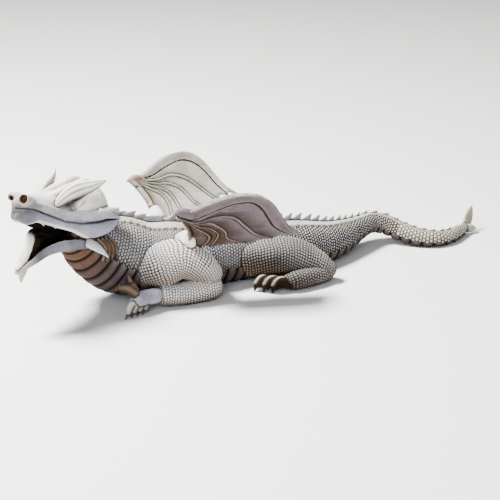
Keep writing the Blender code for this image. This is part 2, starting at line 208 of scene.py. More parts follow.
def path_of(rows, spacing):
    """Rows on a smooth curve at an even spacing, and how far along each is."""
    fine = smooth(rows, 16)
    along = np.concatenate([[0], np.cumsum(np.linalg.norm(np.diff(fine[:, :3], axis=0), axis=1))])
    even = np.linspace(0, along[-1], max(4, round(along[-1] / spacing) + 1))
    return np.stack([np.interp(even, along, column) for column in fine.T], axis=1), even


def frames(places, reference):
    """Tangent, side and up at each place of a path; up leans to the reference direction."""
    tangent = unit(np.gradient(places, axis=0))
    side = unit(np.cross(tangent, np.broadcast_to(np.array(reference, float), tangent.shape)))
    return tangent, side, np.cross(side, tangent)


def keep(bm, kind, path, tangent, side, up):
    """Remember which faces a stroke made, what it is, and its path for the carving."""
    step = np.linalg.norm(np.diff(path[:, :3], axis=0), axis=1)
    along = np.concatenate([[0], np.cumsum(step)])
    strokes.append({"kind": kind, "last": len(bm.faces), "path": path, "along": along,
                    "tangent": tangent, "side": side, "up": up})


def skin(bm, rings):
    """A closed skin over rings of points, with a point at the middle of each end ring."""
    rows = [[bm.verts.new(p) for p in ring] for ring in rings]
    around = len(rows[0])
    for one, other in zip(rows, rows[1:]):
        for j in range(around):
            k = (j + 1) % around
            bm.faces.new((one[j], one[k], other[k], other[j]))
    for ring, row, order in ((rings[0], rows[0], -1), (rings[-1], rows[-1], 1)):
        pole = bm.verts.new(ring.mean(axis=0))
        for j in range(around):
            bm.faces.new((row[j], row[(j + 1) % around], pole)[::order])


def slab(bm, front, back):
    """A closed sheet between two grids of points that face each other."""
    grids = [[[bm.verts.new(p) for p in row] for row in grid] for grid in (front, back)]
    rows, columns = len(front), len(front[0])
    for grid, order in zip(grids, (1, -1)):
        for i in range(rows - 1):
            for j in range(columns - 1):
                face = (grid[i][j], grid[i][j + 1], grid[i + 1][j + 1], grid[i + 1][j])
                bm.faces.new(face[::order])
    edge = [(0, j) for j in range(columns)] + [(i, columns - 1) for i in range(1, rows)]
    edge += [(rows - 1, j) for j in range(columns - 2, -1, -1)] + [(i, 0) for i in range(rows - 2, 0, -1)]
    for (i, j), (k, m) in zip(edge, edge[1:] + edge[:1]):
        bm.faces.new((grids[0][k][m], grids[0][i][j], grids[1][i][j], grids[1][k][m]))


def round_cap(path, tangent, end):
    """Rows that round off one end of a path: end is 0 or -1."""
    lift = np.sin(np.radians((15, 30, 45, 60, 75, 86)))
    shrink = np.sqrt(1 - lift**2)
    row, reach = path[end], min(path[end, 3:5])
    caps = [
        (*(row[:3] + (1 if end else -1) * reach * up * tangent[end]), row[3] * thin, row[4] * thin)
        for up, thin in zip(lift, shrink)
    ]
    return np.array(caps if end else caps[::-1])


def clay(bm, kind, rows, reference=(0, 0, 1), sides=32, spacing=2.0, round_ends=(True, True)):
    """One stroke of clay along rows of x, y, z, half width and half height, with round or sharp ends."""
    path, _ = path_of(rows, spacing)
    tangent, side, up = frames(path[:, :3], reference)
    for end, wanted in zip((0, -1), round_ends):
        if wanted:
            cap = round_cap(path, tangent, end)
            extra = [np.repeat(v[end][None], len(cap), axis=0) for v in (tangent, side, up)]
            pieces = [(cap, path), *zip(extra, (tangent, side, up))]
            path, tangent, side, up = (np.concatenate(pair[:: 1 if end == 0 else -1]) for pair in pieces)
    angle = np.linspace(0, 2 * math.pi, sides, endpoint=False)
    across = side[:, None] * (path[:, 3:4] * np.cos(angle))[..., None]
    rise = up[:, None] * (path[:, 4:5] * np.sin(angle))[..., None]
    skin(bm, path[:, None, :3] + across + rise)
    keep(bm, kind, path, tangent, side, up)


def both_sides(bm, kind, rows, **how):
    """A stroke on the left of the body and its mirror image; y is given as the distance out."""
    for hand in (-1, 1):
        clay(bm, kind, [(x, hand * out, z, wide, high) for x, out, z, wide, high in rows], **how)


def bumps(along, pitch):
    """From 0 at the joints of a row of plates to 1 over each plate's middle."""
    return np.sqrt(np.abs(np.sin(math.pi * along / pitch)))


def trunk(bm):
    """Neck, body and tail in one skin, with plates across the belly and a scalloped band down the back."""
    path, along = path_of(TRUNK, 1.6)
    tangent, side, up = frames(path[:, :3], (0, 0, 1))
    angle = np.linspace(0, 2 * math.pi, 140, endpoint=False)
    across, rise = np.cos(angle), np.sin(angle)
    girth = path[:, 3:4]
    height = np.where(rise > 0, path[:, 4:5], path[:, 5:6])
    from_belly = np.arccos(np.clip(-rise, -1, 1))
    from_back = math.pi - from_belly
    taper = np.clip(girth / 40, 0.35, 1)
    plates = BELLY_PLATE_DEPTH * taper * (0.6 + bumps(along, BELLY_PLATE_PITCH)[:, None])
    relief = np.where(from_belly < BELLY_HALF_ANGLE, plates, 0)
    scallop = BACK_BAND_HALF_ANGLE * (0.78 + 0.22 * bumps(along, BACK_SCALLOP_PITCH)[:, None])
    relief = np.where(from_back < scallop, BACK_BAND_RISE * taper, relief)
    rings = side[:, None] * ((girth + relief) * across)[..., None]
    rings = rings + up[:, None] * ((height + relief) * rise)[..., None]
    skin(bm, path[:, None, :3] + rings)
    keep(bm, "trunk", path, tangent, side, up)


def crest(bm):
    """The row of back-swept fins along the spine."""
    path, along = path_of(TRUNK, 1.0)
    tangent, _, up = frames(path[:, :3], (0, 0, 1))
    for place in np.arange(CREST_START, along[-1] - CREST_STOP, CREST_PITCH):
        i = int(np.searchsorted(along, place))
        share = np.clip(path[i, 3] / 48, 0.3, 1)
        tall, half_long, half_thick = 3 + 13 * share, 5 + 7 * share, 1.8 + 1.4 * share
        foot = path[i, :3] + up[i] * (path[i, 4] - 2)
        rows = []
        for step in (0.0, 0.35, 0.7, 1.0):
            middle = foot + up[i] * tall * step + tangent[i] * half_long * 0.9 * step**1.3
            rows.append((*middle, half_thick * (1 - 0.75 * step), half_long * (1 - 0.9 * step)))
        clay(bm, "crest", rows, tangent[i], sides=14, spacing=1.6, round_ends=(False, False))


def head_axes():
    """The head's forward, left and up directions."""
    ahead = (-math.cos(HEAD_TURN), -math.sin(HEAD_TURN), 0)
    beside = (math.sin(HEAD_TURN), -math.cos(HEAD_TURN), 0)
    return np.array((ahead, beside, (0, 0, 1)))


def head_place(forward, left, up):
    """A point of the head, measured from the hinge of its jaw."""
    return np.array(HEAD_PLACE) + np.array((forward, left, up)) @ head_axes()


def head_clay(bm, kind, rows, both=False, reference=(0, 0, 1), **how):
    """A stroke given as forward, left, up, half width and half height; both repeats it on the right."""
    for hand in (1, -1) if both else (1,):
        placed = [(*head_place(f, hand * l, u), wide, high) for f, l, u, wide, high in rows]
        f, l, u = reference
        clay(bm, kind, placed, head_place(f, hand * l, u) - head_place(0, 0, 0), **how)


def skull(bm):
    """Skull, snout, brows, eyes, and the bands that run back from the nose to the ear."""
    head_clay(bm, "head", ((-44, 0, 16, 30, 22), (-22, 0, 33, 37, 37), (4, 0, 42, 35, 32), (32, 0, 47, 27, 25),
                           (60, 0, 56, 19, 19), (84, 0, 62, 14, 16), (97, 0, 66, 12, 14)), sides=48)
    head_clay(bm, "nose", ((86, 7, 71, 8, 8), (97, 11, 76, 9.5, 8.5)), both=True)
    head_clay(bm, "head", ((94, 8, 69, 6, 6), (66, 14, 57, 6, 8), (39, 22, 42, 7, 9), (14, 29, 34, 8, 9),
                           (-14, 35, 29, 8, 9), (-38, 37, 27, 7, 8), (-56, 36, 25, 4, 5)), both=True)
    head_clay(bm, "head", ((105, 4, 55, 5, 9), (94, 9, 49, 5, 10), (76, 12, 47, 5, 9), (43, 21, 31.5, 5, 9.5),
                           (22, 28, 22, 6, 10.5), (4, 33, 12, 7, 13), (-14, 36, 8, 7, 13), (-37, 38, 8, 6, 10),
                           (-54, 38, 14, 4, 5)), both=True)
    head_clay(bm, "leaf", ((53, 17, 53, 3, 3), (44, 20, 60, 5, 6), (28, 25, 69, 6, 10), (12, 30, 73, 6, 11),
                           (0, 37, 75.5, 5, 9.5), (-10, 45, 79, 3.5, 6), (-20, 53, 83, 1.2, 1.4)), both=True,
              reference=(0, -0.35, 1), round_ends=(True, False))
    head_clay(bm, "head", ((62, 7, 65, 4, 5), (38, 9, 68, 5, 6), (10, 10, 72, 6, 6), (-18, 11, 73, 6, 6),
                           (-34, 10, 63, 4, 4)), both=True)
    head_clay(bm, "eye", ((38, 22.5, 50.5, 4.5, 4.5), (28, 26.5, 50.5, 5.5, 5), (15, 31, 55, 4, 4),
                          (3, 33, 62, 2, 2)), both=True)
    head_clay(bm, "head", ((48, 20, 50, 1.4, 1.6), (40, 24, 46.5, 1.6, 1.8), (28, 28, 44, 1.6, 1.8),
                           (17, 30, 46, 1.4, 1.6)), both=True)
    head_clay(bm, "head", ((-18, 38, 32, 5, 7), (-36, 43, 24, 3.5, 5), (-53, 47, 15, 1, 1)), both=True,
              round_ends=(True, False))


def jaw(bm):
    """The lower jaw as a scoop with a rim, the tongue, the teeth, and the frill behind the cheeks."""
    head_clay(bm, "jaw", ((-34, 0, -6, 33, 22), (-8, 0, -13, 32, 14), (20, 0, -14, 27, 8),
                          (46, 0, -12, 20, 6.5), (70, 0, -13, 14.5, 5.5), (90, 0, -20, 10, 5),
                          (106, 0, -31, 5, 4)), sides=40)
    head_clay(bm, "jaw", ((-4, 34, -12, 5, 9), (10, 31, -10, 4, 7.5), (28, 28, -6.5, 3.6, 8),
                          (48, 23, -4.5, 3.4, 8), (68, 18, -7, 3.2, 7), (84, 12.5, -15, 3.2, 5.5),
                          (96, 8, -21, 3.2, 4.5), (105, 4.5, -26, 3.4, 4.5), (111, 0, -29, 3.4, 4)), both=True)
    head_clay(bm, "jaw", ((98, 0, -30, 5, 5), (103, 0, -38, 3.5, 4), (104, 0, -46, 1.4, 1.6)),
              reference=(1, 0, 0))
    head_clay(bm, "tongue", ((-10, 0, -4, 14, 8), (26, 0, 2, 11, 6), (52, 0, 11, 10, 4.5),
                             (66, 0, 19.5, 9.5, 4.2), (76.5, 0, 20, 9, 4.6), (84.5, 0, 9.5, 8.5, 4.8),
                             (91.5, 0, -4, 8, 4.8), (99.5, 0, -15.5, 7, 4.4), (110, 0, -24, 4.5, 2.8)),
              sides=24)
    head_clay(bm, "gullet", ((-10, 0, -2, 22, 14), (30, 0, 4, 15, 12), (55, 0, 6, 10, 12), (72, 0, 4, 7, 14),
                             (88, 0, -14, 4, 8)), sides=24)
    head_clay(bm, "gullet", ((-10, 0, 14, 22, 14), (30, 0, 24, 15, 14), (55, 0, 31, 11, 13), (76, 0, 38, 8, 10),
                             (90, 0, 45, 5, 7)), sides=24)
    for forward, left, up, long in ((86, 10, 44, 6), (70, 14, 36, 5), (52, 18.5, 27, 4)):
        thick = 2.4
        rows = ((forward, left, up, thick, thick), (forward - 1, left, up - long / 2, thick * 0.7, thick * 0.7),
                (forward - 2, left, up - long, 0.7, 0.7))
        head_clay(bm, "tooth", rows, both=True, reference=(1, 0, 0), sides=12, spacing=1.5,
                  round_ends=(True, False))
    head_clay(bm, "frill", ((4, 35, -8, 5.5, 8), (-6, 41, -16, 4.5, 7.5), (-14, 46, -25, 3, 4.8),
                            (-20, 50, -35, 0.8, 1)),
              both=True, reference=(1, 0, 0), round_ends=(True, False))
    for fold in range(4):
        back, out = 7 * fold, 0.6 * fold
        head_clay(bm, "gill", ((-10 - back, 41 + out, -6 - fold, 1.8, 1.8),
                               (-17 - back, 45 + out, -16 - 2 * fold, 3, 3),
                               (-18 - back, 46 + out, -27 - 3 * fold, 2.8, 2.8),
                               (-13 - back, 45 + out, -38 - 3 * fold, 1.6, 1.6)), both=True,
                  reference=(1, 0, 0))


def wing_out(x, z):
    """How far out from the spine a wing stands: it leans out as it rises and as it runs back."""
    dome = 6 * np.sin(math.pi * np.clip((z - 80) / 105, 0, 1))
    return 60 + 0.53 * (z - 100) + 0.25 * (x + 126) + dome


def wing(bm, hand):
    """One wing: a leaf of membrane between ribs that fan from the wrist, each with a groove beneath it."""
    columns, steps = 130, 26
    ribs = []
    for points in WING_RIBS if hand > 0 else NEAR_WING_RIBS:
        flat, _ = path_of([(x, 0, z) for x, z in (WRIST, *points)], 1.0)
        at = np.linspace(0, len(flat) - 1, columns)
        ribs.append(np.stack([np.interp(at, np.arange(len(flat)), column) for column in flat.T], axis=1))
    parts = np.arange(steps) / steps
    rows = [one + (other - one) * part for one, other in zip(ribs, ribs[1:]) for part in parts]
    rows = np.stack([*rows, ribs[-1]])
    gap = np.linalg.norm(np.diff(ribs, axis=0), axis=2)
    share = np.arange(columns) / (columns - 1)
    sheet, half = [], []
    for i, row in enumerate(rows):
        rib, step = divmod(i, steps)
        s = step / steps
        reach = share * (1 - WING_SCALLOP * math.sin(math.pi * s))
        row = np.stack([np.interp(reach, share, column) for column in row.T], axis=1)
        row[:, 1] = hand * wing_out(row[:, 0], row[:, 2])
        sheet.append(row)
        thick = np.full(columns, MEMBRANE / 2)
        for near, away in ((rib, s), (min(rib + 1, len(ribs) - 1), 1 - s)):
            width = WING_RIB_HALF_WIDTH[near] * (1 - 0.35 * share)
            off = np.clip(away * gap[min(rib, len(gap) - 1)] / width, 0, 1) if s else 0.0 * share
            swell = WING_RIB_RISE[near if s else rib] * (1 - 0.35 * share) * np.sqrt(1 - off**2)
            thick = np.maximum(thick, MEMBRANE / 2 + swell)
        for near, away in ((rib, s), (rib + 1, 1 - s)) if s else ():
            edge = WING_RIB_HALF_WIDTH[near] * (1 - 0.35 * share) + 0.5
            cut = np.exp(-(((away * gap[rib] - edge) / 1.2) ** 2)) * np.clip(share * 8, 0, 1)
            thick -= (0 if near == 0 else 1.5) * cut
        half.append(thick)
    sheet, half = np.array(sheet), np.array(half)
    along = np.gradient(sheet, axis=1)
    normal = unit(np.cross(along, np.gradient(sheet, axis=0)))
    normal[:, 0] = normal[:, 1]
    half[:, -1] *= 0.6
    slab(bm, sheet + normal * half[..., None], sheet - normal * half[..., None])
    middle = sheet[len(sheet) // 2]
    path = np.concatenate([middle, np.ones((len(middle), 2))], axis=1)
    keep(bm, "wing", path, *frames(path[:, :3], (0, 0, 1)))
    strokes[-1]["grid"] = (columns - 1, steps, (len(sheet) - 1) * (columns - 1))
    strokes[-1]["gap"] = gap
    strokes[-1]["first"] = strokes[-2]["last"]


def wings(bm):
    """Both wings, the horn at each wrist and the stub that each grows from."""
    for hand in (-1, 1):
        wing(bm, hand)
    both_sides(bm, "root", ((-120, 28, 76, 17, 20), (-119, 46, 90, 13, 18), (-118, 60, 100, 12, 16),
                            (-118, 66, 106, 9, 12)))
    x, z = WRIST
    both_sides(bm, "wrist", ((x + 22, wing_out(x + 22, z), z - 3, 6, 7),
                             (x + 10, wing_out(x + 10, z), z + 1, 6, 7),
                             (x + 2, wing_out(x, z) + 1, z + 1, 4.5, 5),
                             (x - 5, wing_out(x, z) + 2, z - 1, 1.4, 1.6)),
               round_ends=(True, False))


def digit(bm, rows, claw):
    """A finger or toe on both sides, as rows of x, out, z and radius, and the tip of its claw."""
    both_sides(bm, "digit", [(x, out, z, r, r) for x, out, z, r in rows], sides=18, spacing=1.6)
    x, out, z, r = rows[-1]
    middle = (np.array((x, out, z)) + claw) / 2 + (0, 0, 0.3 * r)
    both_sides(bm, "claw", ((x, out, z, r * 0.75, r * 0.75), (*middle, r * 0.5, r * 0.5), (*claw, 0.9, 0.9)),
               reference=(0.3, 0.2, 1), sides=14, spacing=1.5, round_ends=(True, False))


def legs(bm):
    """Four crouched legs, with elbows and knees to the rear and hands and feet to the front."""
    both_sides(bm, "limb", ((-182, 38, 54, 20, 28), (-160, 47, 62, 27, 34), (-130, 54, 69, 28, 31),
                            (-104, 60, 58, 24, 26), (-86, 62, 38, 19, 22)), sides=48)
    both_sides(bm, "limb", ((-85, 66, 21, 18, 21), (-108, 65, 19, 18, 20), (-136, 63, 18, 17, 18),
                            (-160, 63, 20, 14, 16)), sides=48)
    both_sides(bm, "cuff", ((-158, 61, 21, 12, 12), (-182, 66, 23, 11, 12), (-204, 69, 24, 13, 12)))
    digit(bm, ((-206, 62, 34, 7), (-211, 60, 44, 6.5)), (-215, 59, 60))
    digit(bm, ((-210, 70, 34, 7), (-221, 67, 43, 6.5), (-229, 64, 44, 5)), (-238, 62, 41))
    for i in range(4):
        back, out = 9.6 * i, -1.5 * i
        digit(bm, ((-207 + back, 72 + out, 21, 4.8), (-218 + back, 76 + out, 20, 4.8),
                   (-224 + back, 78 + out, 9, 4.5)), (-230 + back, 79 + out, 0))
    both_sides(bm, "limb", ((-4, 44, 42, 20, 26), (26, 54, 44, 27, 31), (60, 63, 42, 27, 31),
                            (90, 74, 32, 21, 23), (110, 84, 19, 14, 16)), sides=48)
    both_sides(bm, "limb", ((108, 84, 16, 13, 15), (80, 90, 17, 14, 16), (50, 92, 16, 13, 15),
                            (38, 90, 15, 12, 12)), sides=40)
    for i in range(3):
        out, back = TOE_OUT + TOE_PITCH * i, 10 * i
        digit(bm, ((18 + back, out + 4, 13, 8.5), (3 + back, out, 18, 8), (-6 + back, out, 12, 6.8)),
              (-12 + back, out, 0))


def tail_fin(bm):
    """The two-lobed fin at the tip of the tail."""
    clay(bm, "fin", ((428, -8, 14, 3, 7), (441, -1, 22, 3, 11), (450, 6, 31, 2.6, 9.5), (458, 12, 43, 1.2, 2)),
         reference=(0.7, 0, -0.7), sides=20, round_ends=(True, False))
    clay(bm, "fin", ((428, -8, 12, 3, 7), (440, -10, 10, 2.8, 8), (449, -10, 8, 2.4, 5), (456, -8, 7, 1, 1.4)),
         sides=20, round_ends=(True, False))


def evaluated(body):
    """The mesh of a body with its modifiers applied."""
    depsgraph = bpy.context.evaluated_depsgraph_get()
    return bpy.data.meshes.new_from_object(body.evaluated_get(depsgraph))


def column(items, name, width=1, kind=float):
    """One property of all the items of a mesh, as an array."""
    values = np.empty(len(items) * width, kind)
    items.foreach_get(name, values)
    return values.reshape(-1, width) if width > 1 else values


def spread(values, edges, rounds):
    """Values at the vertices, averaged with their neighbours that many times."""
    count = np.bincount(edges.ravel(), minlength=len(values))[:, None]
    for _ in range(rounds):
        total = np.stack([
            np.bincount(edges[:, 0], c[edges[:, 1]], len(values))
            + np.bincount(edges[:, 1], c[edges[:, 0]], len(values))
            for c in values.T
        ], axis=1)
        values = 0.5 * values + 0.5 * total / count
    return values


def placed(stroke, points):
    """How far along a stroke points lie, and their place around it where its skin is at distance one."""
    path = stroke["path"]
    middle = path[:, :3]
    near = []
    for part in np.array_split(points, len(points) // 20000 + 1):
        near.append(np.argmin((middle**2).sum(axis=1) - 2 * part @ middle.T, axis=1))
    near = np.concatenate(near)
    ahead = ((points - middle[near]) * stroke["tangent"][near]).sum(axis=1)
    other = np.clip(near + np.where(ahead > 0, 1, -1), 0, len(path) - 1)
    beyond = ((points - middle[other]) * stroke["tangent"][other]).sum(axis=1)
    between = ahead * beyond < 0
    share = np.where(between, ahead / np.where(between, ahead - beyond, 1), 0)
    along = np.where(between, (1 - share) * stroke["along"][near] + share * stroke["along"][other],
                     stroke["along"][near] + ahead)
    around = []
    for at in (near, other):
        off = points - middle[at]
        rise = (off * stroke["up"][at]).sum(axis=1)
        radius = np.where(rise > 0, path[at, 4], path[at, -1])
        around.append(((off * stroke["side"][at]).sum(axis=1) / path[at, 3], rise / radius))
    across, rise = ((1 - share) * one + share * two for one, two in zip(*around))
    return along, across, rise


def pillow(u, v, power):
    """A scale's height, 0 at its rim and 1 at its middle; u and v run from -0.5 to 0.5 across it."""
    return np.sqrt(np.clip(1 - np.abs(2 * u) ** power, 0, 1) * np.clip(1 - np.abs(2 * v) ** power, 0, 1))


def pattern(stroke, row, rows, turn, span, width, slant, power):
    """Rows of scales as columns: the row, the turn from 0 to 1 around, the scales that fit there, how fast
    that number changes from row to row, the slant of the knit and how square a scale is. rows counts the rows
    along the stroke's path, and span is the angle that a whole turn covers."""
    path = stroke["path"]
    fit = np.sqrt((path[:, 3] ** 2 + path[:, 4] ** 2) / 2) * span / width
    count = np.maximum(np.interp(row, rows, fit), 3)
    slope = np.maximum(np.interp(row + 0.5, rows, fit), 3) - np.maximum(np.interp(row - 0.5, rows, fit), 3)
    same = np.ones(len(row))
    return np.stack([row + 4, turn, count, slope, slant * same, power * same], axis=1)


def scale_height(columns):
    """The height of the scales of a pattern; the stone's shader works out the same."""
    row, turn, count, slope, slant, power = columns.T
    k = np.floor(row)
    u = row - k - 0.5
    odd = k % 2
    v = turn * np.round(count - slope * u) + 0.5 * odd + slant * u * (2 * odd - 1)
    return pillow(u, v - np.floor(v) - 0.5, power)


def wavy(points):
    """A slow waver, so that rows of scales run as if set by hand."""
    return 0.5 * np.sin(points @ (0.11, 0.17, 0.13)) + 0.35 * np.sin(points @ (-0.23, 0.19, 0.29))


def limb_pattern(stroke, points):
    """Round pebble scales in staggered rows."""
    along, across, rise = placed(stroke, points)
    turn = np.arctan2(across, rise) / (2 * math.pi) + 0.5
    along = along + wavy(points)
    return pattern(stroke, along / PEBBLE, stroke["along"] / PEBBLE, turn, 2 * math.pi, PEBBLE, 0, 2)


def trunk_pattern(stroke, points):
    """Knitted rows of scales on neck and flanks, and rows of blocks on the tail; belly and back stay smooth."""
    along, across, rise = placed(stroke, points)
    reach = np.hypot(across, rise)
    from_belly = np.arccos(np.clip(-rise / np.maximum(reach, 1e-6), -1, 1))
    low, high = BELLY_HALF_ANGLE, math.pi - BACK_BAND_HALF_ANGLE
    turn = (from_belly - low) / (high - low)
    row, rows = (np.interp(v, KNIT_ALONG, KNIT_ROWS) for v in (along + wavy(points), stroke["along"]))
    knit = pattern(stroke, row, rows, turn, high - low, KNIT_WIDTH, 0.5, 2)
    blocks = pattern(stroke, along / BLOCK_LENGTH, stroke["along"] / BLOCK_LENGTH, turn, high - low,
                     BLOCK_WIDTH, 0, 4)
    return np.where((along > TAIL_BLOCKS_FROM)[:, None], blocks, knit), turn, along


def line_gap(points, line):
    """How far points of a plane are from a bent line in it."""
    line = np.array(line, float)
    best = np.full(len(points), 1e9)
    for a, b in zip(line, line[1:]):
        t = np.clip(((points - a) @ (b - a)) / ((b - a) @ (b - a)), 0, 1)
        best = np.minimum(best, np.linalg.norm(points - a - t[:, None] * (b - a), axis=1))
    return best


def head_coordinates(points):
    """Points in the head's own frame, as forward, left and up."""
    return (points - np.array(HEAD_PLACE)) @ head_axes().T


def blend(base, colour, share):
    """Colours mixed towards another one."""
    share = np.clip(np.reshape(share, (-1, 1)), 0, 1)
    return base * (1 - share) + np.array(colour) * share


def step(low, high, values):
    """A smooth rise from 0 at low to 1 at high."""
    t = np.clip((values - low) / (high - low), 0, 1)
    return t * t * (3 - 2 * t)


def shelter(tree, points, normals):
    """How shut in each place is, from 0 in the open to 1 in a deep hollow or hard by the ground."""
    reach, count = 55.0, 18
    turn = np.arange(count) * math.pi * (3 - math.sqrt(5))
    lift = np.sqrt((np.arange(count) + 0.5) / count)
    fan = np.stack([np.sqrt(1 - lift**2) * np.cos(turn), np.sqrt(1 - lift**2) * np.sin(turn), lift], axis=1)
    chosen = np.arange(0, len(points), 14)
    known = KDTree(len(chosen))
    shut = []
    for n, i in enumerate(chosen):
        z = normals[i]
        x = unit(np.cross(z, (0.31, 0.59, 0.75)))
        start = points[i] + 2.5 * z
        blocked = 0.0
        for ray in fan @ np.stack([x, np.cross(z, x), z]):
            far = tree.ray_cast(start, ray, reach)[3]
            ground = -start[2] / ray[2] if ray[2] < 0 else reach
            far = min(reach if far is None else far, max(ground, 0))
            blocked += 1 - far / reach
        shut.append(blocked / count)
        known.insert(points[i], n)
    known.balance()
    shut = np.array(shut)
    return np.array([shut[known.find(p)[1]] for p in points.tolist()])


def fused_clay():
    """All the strokes in one dense skin, and a search tree of the strokes' own faces."""
    bm = bmesh.new()
    for form in (trunk, crest, skull, jaw, wings, legs, tail_fin):
        form(bm)
    bmesh.ops.recalc_face_normals(bm, faces=bm.faces)
    mesh = bpy.data.meshes.new("clay")
    bm.to_mesh(mesh)
    bm.free()
    clay_body = bpy.data.objects.new("clay", mesh)
    bpy.context.scene.collection.objects.link(clay_body)
    fuse = clay_body.modifiers.new("fuse", "REMESH")
    fuse.mode = "VOXEL"
    fuse.voxel_size = GRID
    soften = clay_body.modifiers.new("soften", "SMOOTH")
    soften.factor = 0.5
    soften.iterations = 1
    dense = evaluated(clay_body)
    tree = BVHTree.FromPolygons([v.co for v in mesh.vertices], [tuple(p.vertices) for p in mesh.polygons])
    bpy.data.objects.remove(clay_body, do_unlink=True)
    return dense, tree


def blank_skin(dense, tree):
    """The skin's vertices with the stroke that each belongs to, and its relief and colours still blank."""
    points = column(dense.vertices, "co", 3)
    face = np.array([tree.find_nearest(p)[2] for p in points.tolist()])
    which = np.searchsorted([s["last"] for s in strokes], face, side="right")
    count = len(points)
    return SimpleNamespace(
        points=points,
        normals=column(dense.vertex_normals, "vector", 3),
        edges=column(dense.edges, "vertices", 2, np.int32),
        face=face,
        which=which,
        kinds=np.array([s["kind"] for s in strokes])[which],
        relief=np.zeros(count),
        tint=np.tile(PALE, (count, 1)),
        wash_and_shade=np.zeros(count),
        columns=np.tile((4.5, 0.5, 3, 0, 0, 2.0), (count, 1)),
        lit=np.ones(count),
        scaly=np.zeros(count),
        ribbed=np.zeros(count),
    )


def plain(colour, count):
    """One colour at that many vertices."""
    return np.tile(colour, (count, 1))


def paint_limb(skin, here, stroke):
    """Pebble scales: pale arms, greyer at the shoulder, and thighs that are dark olive in front."""
    at = skin.points[here]
    columns = limb_pattern(stroke, at)
    skin.columns[here] = columns
    skin.scaly[here] = 1
    skin.relief[here] = SCALE_RISE * (scale_height(columns) - SCALE_MEAN)
    x, z = at[:, 0], at[:, 2]
    # Faces turned down, used for painted shade.
    under = step(0.35, -0.55, skin.normals[here, 2])
    if x.max() < 0:
        colour = blend(plain(WHITE, len(at)), SLATE, 0.75 * step(-148, -185, x) * step(30, 50, z))
        # Rust brown near the ground, and the same brown as painted shade on faces turned down.
        colour = blend(colour, RUST, 0.8 * np.maximum(step(20, 4, z), under))
        skin.lit[here] = 1.2 - 0.8 * step(-148, -185, x)
    else:
        colour = blend(plain(SLATE, len(at)), PALE, 0.5 * step(70, 105, x))
        colour = blend(colour, DARK_OLIVE, 0.92 * step(66, 14, x) * step(76, 46, z))
        colour = blend(colour, DARK_OLIVE, 0.35 * step(46, 20, z))
        # Painted shade: faces turned down are blended to rust brown.
        colour = blend(colour, RUST, 0.7 * under)
        skin.lit[here] = 0.55
    skin.tint[here] = colour


def paint_trunk(skin, here, stroke):
    """Knitted scales on the sides, amber to plum plates on the throat and belly, a smooth pale back."""
    at = skin.points[here]
    columns, turn, along = trunk_pattern(stroke, at)
    skin.columns[here] = columns
    on_sides = (turn > 0) & (turn < 1)
    skin.scaly[here] = on_sides * (1 + 0.7 * step(330, 430, along))
    skin.relief[here] = on_sides * SCALE_RISE * (scale_height(columns) - SCALE_MEAN)
    skin.wash_and_shade[here] = step(0.05, 0.0, np.abs(turn - 1.01))
    colour = blend(plain(HAZE, len(at)), PALE, 0.5 * step(0.55, 0.95, turn))
    colour = blend(colour, PALE, step(1.0, 1.05, turn))
    colour = blend(colour, OLIVE, 0.9 * step(560, 660, along))
    colour = blend(colour, RUST, 0.7 * step(0.22, 0.0, turn))
    skin.lit[here] = np.where(turn < 0, 0.15, 0.75 + 0.4 * step(0.98, 1.05, turn))
    joint = 1 - np.abs(np.sin(math.pi * along / BELLY_PLATE_PITCH))
    plates = blend(plain(PLUM, len(at)), AMBER, step(120, 10, along))
    plates = blend(plates, MAUVE, 0.5 * step(0.55, 0.1, joint) * step(20, 110, along))
    plates = blend(plates, BLACK, step(0.4, 0.85, joint))
    skin.relief[here] -= np.where(turn < 0, BELLY_JOINT_DEPTH * step(0.4, 1.0, joint), 0)
    skin.tint[here] = np.where((turn <= 0.02)[:, None], plates, colour)


def paint_leaf(skin, here, stroke):
    """Fine stripes along a brow leaf, and painted shade along its underside."""
    _, _, rise = placed(stroke, skin.points[here])
    skin.columns[here, 0] = 8 + 1.5 * rise
    skin.columns[here, 1] = LEAF_STRIPE_PITCH
    skin.ribbed[here] = 0.6
    # Painted shade: the underside of the leaf is darkened.
    skin.wash_and_shade[here] = step(-0.45, -0.9, rise)


def paint_wing(skin, here, stroke):
    """Lines along the ribs; a wing's outer face dark mauve and brown, partly painted shade, and its inner face
    cream, partly as the lit side.
    """
    at = skin.points[here]
    wide, steps, side_faces = stroke["grid"]
    sheet_face = (skin.face[here] - stroke["first"]) % side_faces
    row = sheet_face // wide
    gap, part = row // steps, (row % steps + 0.5) / steps
    pitch = stroke["gap"][gap, sheet_face % wide]
    skin.columns[here, 0], skin.columns[here, 1] = gap + part, pitch
    skin.ribbed[here] = step(1.5, 4.0, pitch)
    skin.relief[here] = -WING_LINE_DEPTH * np.exp(-(((gap + part - 1) * pitch / 1.2) ** 2))
    middle = np.sin(math.pi * part**1.9) ** 1.5 * (gap > 0)
    # Painted shade: the outer faces get a dark copy of the wing's colours and the inner faces a pale lit one,
    # partly the wing's own mauve and cream.
    outer = np.sign(at[:, 1]) * skin.normals[here, 1] > -0.45
    lit_face_in = blend(blend(plain(CREAM, len(at)), OLIVE, 0.4 * middle), TAN, 0.9 * middle * (gap == 5))
    shaded_face_out = blend(blend(plain(MAUVE, len(at)), UMBER, 0.8 * (gap > 2)), BROWN, 0.95 * middle)
    skin.tint[here] = np.where(outer[:, None], shaded_face_out, lit_face_in)
    skin.lit[here] = np.where(outer, 0.45, 1.2)


def height_of(line, forward):
    """How high a carved line of the face runs at each place forward."""
    return np.interp(forward, [p[0] for p in line], [p[1] for p in line])


